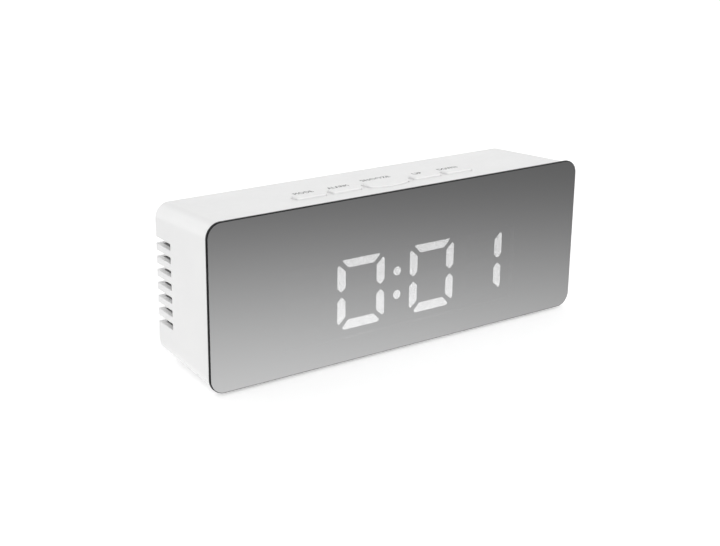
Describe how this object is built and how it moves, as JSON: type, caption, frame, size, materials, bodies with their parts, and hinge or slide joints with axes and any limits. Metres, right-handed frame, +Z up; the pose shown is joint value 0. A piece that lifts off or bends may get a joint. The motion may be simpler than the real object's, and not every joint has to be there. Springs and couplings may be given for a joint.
{
  "type": "alarm clock",
  "caption": "Low desk alarm clock with a half-mirror front that lit digits shine through, a row of push buttons on top, side vents and a hinged battery door at the back.",
  "frame": {"origin": "centre of the assembly's footprint box, on the surface the four feet stand on", "axes": "+Z up, +X to the right of someone reading the display, +Y from the mirror face towards the back"},
  "size_m": [0.16, 0.0394, 0.0588],
  "materials": {
    "case_white": "satin white moulded plastic, fine even grain",
    "button_white": "satin white moulded plastic",
    "mirror": "half-silvered mirror sheet with a black painted border behind it",
    "tape_black": "matt black foam tape",
    "frame_black": "matt black moulded plastic",
    "film_smoke": "smoke-grey diffuser film",
    "reflector_black": "matt black moulded plastic",
    "guide_milk": "milky translucent plastic, lit from behind",
    "board_green": "green circuit board",
    "chip_black": "black moulded component body",
    "plunger_black": "black plastic",
    "plated_steel": "tin-plated sheet steel",
    "battery_jacket": "plain printed foil jacket over steel",
    "spring_steel": "nickel-plated spring steel",
    "screw_steel": "zinc-plated steel",
    "wire_red": "red insulation",
    "wire_black": "black insulation",
    "wire_grey": "grey insulation",
    "foot_rubber": "dark grey rubber pad"
  },
  "bodies": {
    "case": {"alarm_switch": "plated_steel", "battery_bottom": "battery_jacket", "battery_lead_black": "wire_black", "battery_lead_red": "wire_red", "battery_middle": "battery_jacket", "battery_top": "battery_jacket", "bridge_left": "spring_steel", "bridge_right": "spring_steel", "buzzer": "chip_black", "case_screw_1": "screw_steel", "case_screw_2": "screw_steel", "case_screw_3": "screw_steel", "case_screw_4": "screw_steel", "controller_chip": "chip_black", "crystal": "plated_steel", "display_film": "film_smoke", "down_switch": "plated_steel", "filter_capacitor": "chip_black", "foot_back_left": "foot_rubber", "foot_back_right": "foot_rubber", "foot_front_left": "foot_rubber", "foot_front_right": "foot_rubber", "front_frame": "frame_black", "housing": "case_white", "jack_shell": "plated_steel", "jack_tongue": "chip_black", "key_board": "board_green", "key_board_screw_1": "screw_steel", "key_board_screw_2": "screw_steel", "key_ribbon": "wire_grey", "light_guide_colon": "guide_milk", "light_guide_hours_tens": "guide_milk", "light_guide_hours_units": "guide_milk", "light_guide_minutes_tens": "guide_milk", "light_guide_minutes_units": "guide_milk", "main_board": "board_green", "mirror_panel": "mirror", "mirror_tape": "tape_black", "mode_switch": "plated_steel", "power_board": "board_green", "power_board_screw_1": "screw_steel", "power_board_screw_2": "screw_steel", "power_lead": "wire_grey", "segment_reflector": "reflector_black", "snooze_switch": "plated_steel", "terminal_negative": "spring_steel", "terminal_positive": "spring_steel", "up_switch": "plated_steel"},
    "mode_key": {"mode_button": "button_white", "mode_plunger": "plunger_black"},
    "alarm_key": {"alarm_button": "button_white", "alarm_plunger": "plunger_black"},
    "snooze_key": {"snooze_button": "button_white", "snooze_plunger": "plunger_black"},
    "up_key": {"up_button": "button_white", "up_plunger": "plunger_black"},
    "down_key": {"down_button": "button_white", "down_plunger": "plunger_black"},
    "door": {"battery_door": "case_white"}
  },
  "joints": [
    {"name": "mode_press", "type": "slide", "parent": "case", "child": "mode_key", "axis": [0, 0, -1], "range_m": [0, 0.0005], "stiffness_N_per_m": 800, "springref_m": -0.0006},
    {"name": "alarm_press", "type": "slide", "parent": "case", "child": "alarm_key", "axis": [0, 0, -1], "range_m": [0, 0.0005], "stiffness_N_per_m": 800, "springref_m": -0.0006},
    {"name": "snooze_press", "type": "slide", "parent": "case", "child": "snooze_key", "axis": [0, 0, -1], "range_m": [0, 0.0005], "stiffness_N_per_m": 800, "springref_m": -0.0006},
    {"name": "up_press", "type": "slide", "parent": "case", "child": "up_key", "axis": [0, 0, -1], "range_m": [0, 0.0005], "stiffness_N_per_m": 800, "springref_m": -0.0006},
    {"name": "down_press", "type": "slide", "parent": "case", "child": "down_key", "axis": [0, 0, -1], "range_m": [0, 0.0005], "stiffness_N_per_m": 800, "springref_m": -0.0006},
    {"name": "door_hinge", "type": "hinge", "parent": "case", "child": "door", "pos_m": [0, 0.0197, 0.01145], "axis": [-1, 0, 0], "range_deg": [0, 85]}
  ]
}
